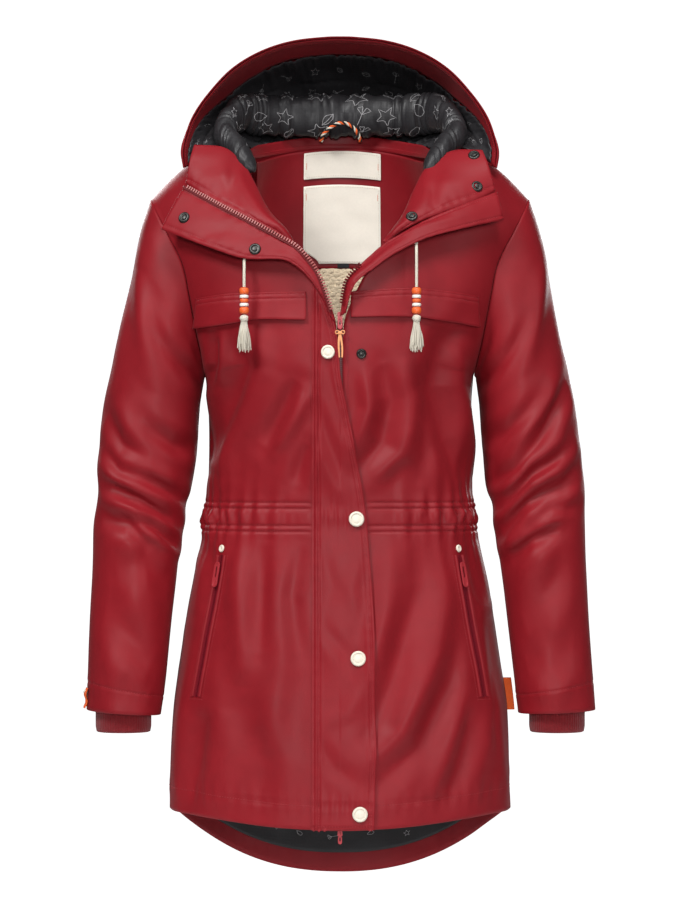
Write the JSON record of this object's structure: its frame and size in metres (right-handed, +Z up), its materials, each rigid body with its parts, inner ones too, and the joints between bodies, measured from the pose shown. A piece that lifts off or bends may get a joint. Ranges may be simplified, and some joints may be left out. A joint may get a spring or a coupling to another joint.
{
  "type": "hooded raincoat",
  "caption": "Women's hooded raincoat in red coated cloth, open at the neck, with gathered waist, snap placket, zipped pockets and rib cuffs, filled out as worn.",
  "frame": {"origin": "middle of the neck opening, at the height of the neck's sides", "axes": "+Z up the wearer's back, -Y the way the wearer faces, +X the wearer's left"},
  "size_m": [0.6108, 0.2948, 1.0201],
  "materials": {
    "red_cloth": "smooth coated cotton with a soft sheen",
    "red_rib": "knitted rib",
    "red_metal": "red lacquer",
    "red_zip": "moulded teeth on tape",
    "black_lining": "quilted printed lining",
    "cream_snap": "smooth",
    "dark_snap": "dark, satin",
    "cream_cord": "braided cotton",
    "beads": "orange and white, smooth",
    "fleece": "curly pile",
    "label": "woven, bare",
    "dark_label": "woven, bare",
    "orange_tape": "woven tape",
    "ribbon": "soft ribbon"
  },
  "bodies": {
    "coat": {"back": "red_cloth", "back_facing": "red_cloth", "back_fleece": "fleece", "back_lining": "black_lining", "beads_left": "beads", "beads_right": "beads", "button_1": "cream_snap", "button_2": "cream_snap", "button_3": "cream_snap", "button_4": "cream_snap", "chest_flap_left": "red_cloth", "chest_flap_right": "red_cloth", "collar_left": "red_cloth", "collar_left_edge": "red_cloth", "collar_right": "red_cloth", "cord_left": "cream_cord", "cord_right": "cream_cord", "cuff_left": "red_rib", "cuff_right": "red_rib", "front_left": "red_cloth", "front_right": "red_cloth", "hanger_loop": "orange_tape", "hood_centre": "red_cloth", "hood_facing": "red_cloth", "hood_left": "red_cloth", "hood_lining": "black_lining", "hood_right": "red_cloth", "label_lower": "label", "label_size": "dark_label", "label_upper": "label", "neck_roll": "black_lining", "placket": "red_cloth", "pocket_left": "red_zip", "pocket_right": "red_zip", "rivet_left": "cream_snap", "rivet_right": "cream_snap", "sleeve_left": "red_cloth", "sleeve_right": "red_cloth", "snap_left_corner": "dark_snap", "snap_left_inner": "dark_snap", "snap_left_outer": "dark_snap", "snap_right_inner": "dark_snap", "snap_right_outer": "dark_snap", "snap_stud": "dark_snap", "tag_cuff": "orange_tape", "tag_side": "orange_tape", "tassel_left": "cream_cord", "tassel_right": "cream_cord", "wind_flap": "red_cloth", "zip_chain": "red_zip", "zip_slider": "red_metal", "zip_slider_low": "red_metal", "zip_teeth_left": "red_zip", "zip_teeth_right": "red_zip"},
    "zip_pull_body": {"zip_pull": "red_metal", "zip_ribbon": "ribbon"},
    "zip_pull_low_body": {"zip_pull_low": "red_metal"},
    "pocket_pull_left_body": {"pocket_pull_left": "red_metal"},
    "pocket_pull_right_body": {"pocket_pull_right": "red_metal"}
  },
  "joints": [
    {"name": "zip_pull_swing", "type": "hinge", "parent": "coat", "child": "zip_pull_body", "pos_m": [0, -0.1336, -0.206], "axis": [-1, 0, 0], "range_deg": [0, 100]},
    {"name": "zip_pull_low_swing", "type": "hinge", "parent": "coat", "child": "zip_pull_low_body", "pos_m": [0, -0.14021, -0.80925], "axis": [-1, 0, 0], "range_deg": [0, 65]},
    {"name": "pocket_pull_left_swing", "type": "hinge", "parent": "coat", "child": "pocket_pull_left_body", "pos_m": [0.14405, -0.07703, -0.49236], "axis": [-0.6766, -0.7358, 0.0277], "range_deg": [0, 90]},
    {"name": "pocket_pull_right_swing", "type": "hinge", "parent": "coat", "child": "pocket_pull_right_body", "pos_m": [-0.14405, -0.07703, -0.49236], "axis": [-0.6766, 0.7358, -0.0277], "range_deg": [0, 90]}
  ]
}
